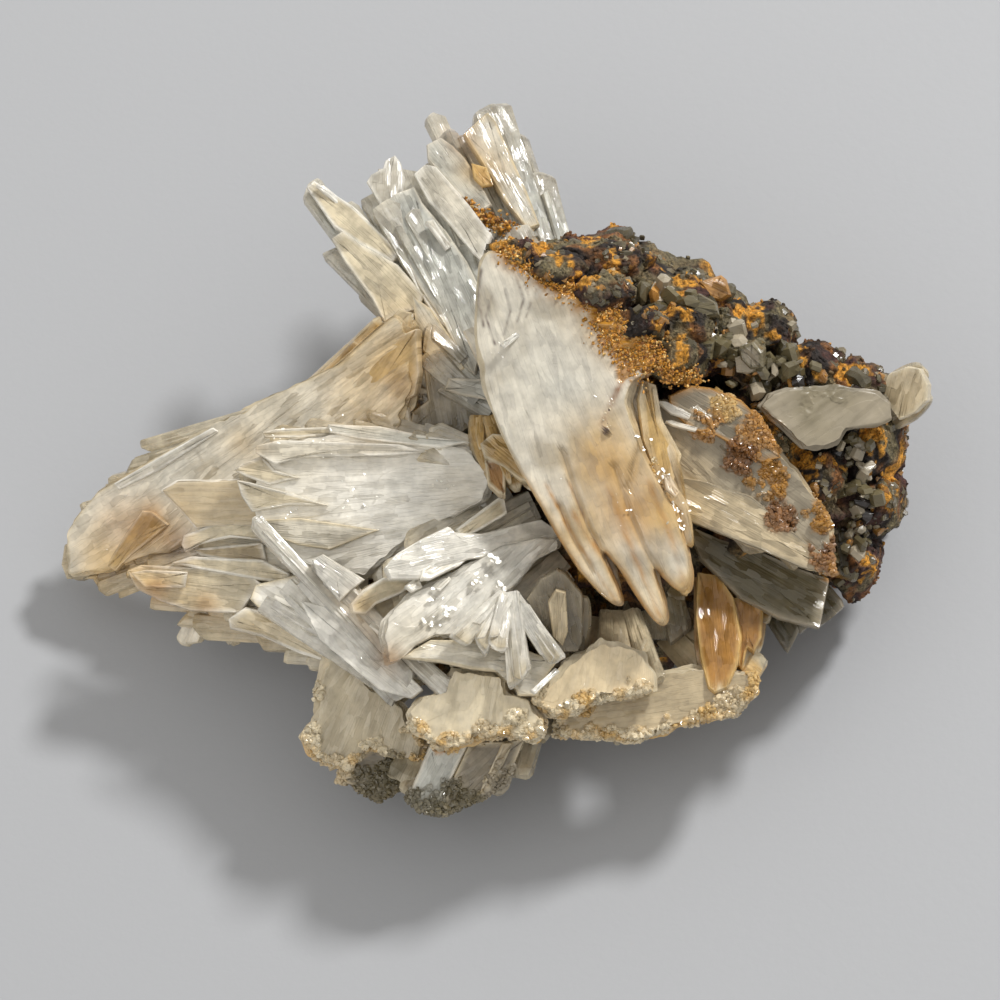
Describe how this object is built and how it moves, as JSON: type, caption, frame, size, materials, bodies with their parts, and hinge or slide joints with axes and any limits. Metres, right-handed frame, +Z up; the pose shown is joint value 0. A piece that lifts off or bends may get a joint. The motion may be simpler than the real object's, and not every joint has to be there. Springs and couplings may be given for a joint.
{
  "type": "barite crystal cluster",
  "caption": "Cluster of bladed, milky to honey-coloured barite crystals in fanned sheaves on a dark iron-oxide matrix that rests on its flat broken underside.",
  "frame": {"origin": "middle of the flat broken underside of the matrix, on the surface that it rests on", "axes": "+X to the right along the specimen's longest extent, +Y to the back, +Z up; the show face looks up and to the front (-Y)"},
  "size_m": [0.0803, 0.0661, 0.0355],
  "materials": {
    "milky_barite": "gloss",
    "blue_grey_barite": "gloss",
    "honey_barite": "gloss",
    "smoky_barite": "gloss",
    "iron_oxide_rock": "matte"
  },
  "bodies": {
    "root": {"matrix": "iron_oxide_rock", "main_blade": "milky_barite", "upper_left_sheaf": "blue_grey_barite", "upper_prisms": "blue_grey_barite", "left_wing": "milky_barite", "front_prisms": "blue_grey_barite", "crossing_blades": "blue_grey_barite", "front_fan": "milky_barite", "middle_fan": "milky_barite", "lower_left_blades": "honey_barite", "upright_crystals": "smoky_barite", "honey_cluster": "honey_barite", "inner_crystals": "blue_grey_barite", "front_plate": "honey_barite", "honey_plate": "honey_barite", "lower_left_plate": "milky_barite", "lower_prisms": "honey_barite", "lower_right_plate": "honey_barite", "hanging_blades": "honey_barite", "right_blades": "smoky_barite", "under_blades": "smoky_barite", "gap_crystals": "smoky_barite", "back_sheaf": "milky_barite", "edge_crystal": "honey_barite", "crust_plate": "iron_oxide_rock"}
  },
  "joints": []
}
